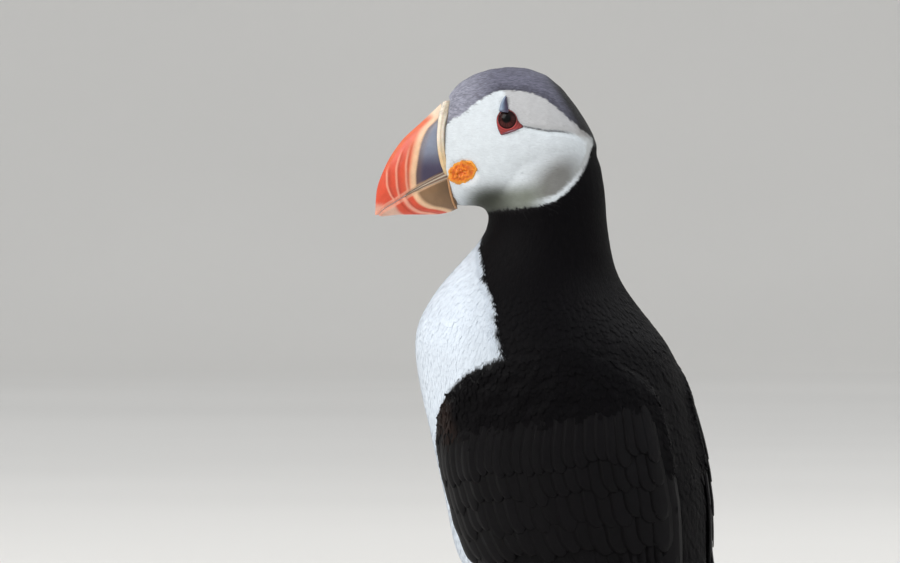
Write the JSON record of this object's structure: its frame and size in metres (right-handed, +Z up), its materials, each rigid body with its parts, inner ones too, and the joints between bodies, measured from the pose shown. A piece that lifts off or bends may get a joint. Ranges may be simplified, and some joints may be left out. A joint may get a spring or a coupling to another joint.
{
  "type": "atlantic puffin model",
  "caption": "Life-size still model of an Atlantic puffin standing upright, head turned to its left, with a deep striped bill, folded wings and webbed feet.",
  "frame": {"origin": "centre of the bottom of the whole bird's box, on the floor between its feet", "axes": "+Z up; the body faces -Y; the bird's left side is +X; the head is turned 25 degrees to its left"},
  "size_m": [0.1004, 0.155, 0.252],
  "materials": {
    "plumage": "fine smooth feathers, black above and white below with a grey-white face",
    "bill_horn": "satin horn with pale grooves",
    "bill_base_skin": "matt, finely pitted pale skin",
    "gape_skin": "wrinkled orange-yellow skin",
    "eye": "wet, glossy, dark brown iris and black pupil",
    "eye_plate": "matt blue-grey horn",
    "leg_skin": "scaly orange skin, satin",
    "claw_horn": "dark satin horn"
  },
  "bodies": {
    "root": {"trunk": "plumage", "neck": "plumage", "head": "plumage", "tail": "plumage", "wing_left": "plumage", "wing_right": "plumage", "thigh_left": "plumage", "thigh_right": "plumage", "bill_upper": "bill_horn", "bill_lower": "bill_horn", "bill_base_ridge": "bill_base_skin", "gape_left": "gape_skin", "gape_right": "gape_skin", "eye_left": "eye", "eye_right": "eye", "eye_plate_upper_left": "eye_plate", "eye_plate_upper_right": "eye_plate", "eye_plate_lower_left": "eye_plate", "eye_plate_lower_right": "eye_plate", "shank_left": "leg_skin", "shank_right": "leg_skin", "foot_left": "leg_skin", "foot_right": "leg_skin", "claw_inner_left": "claw_horn", "claw_middle_left": "claw_horn", "claw_outer_left": "claw_horn", "claw_inner_right": "claw_horn", "claw_middle_right": "claw_horn", "claw_outer_right": "claw_horn"}
  },
  "joints": []
}
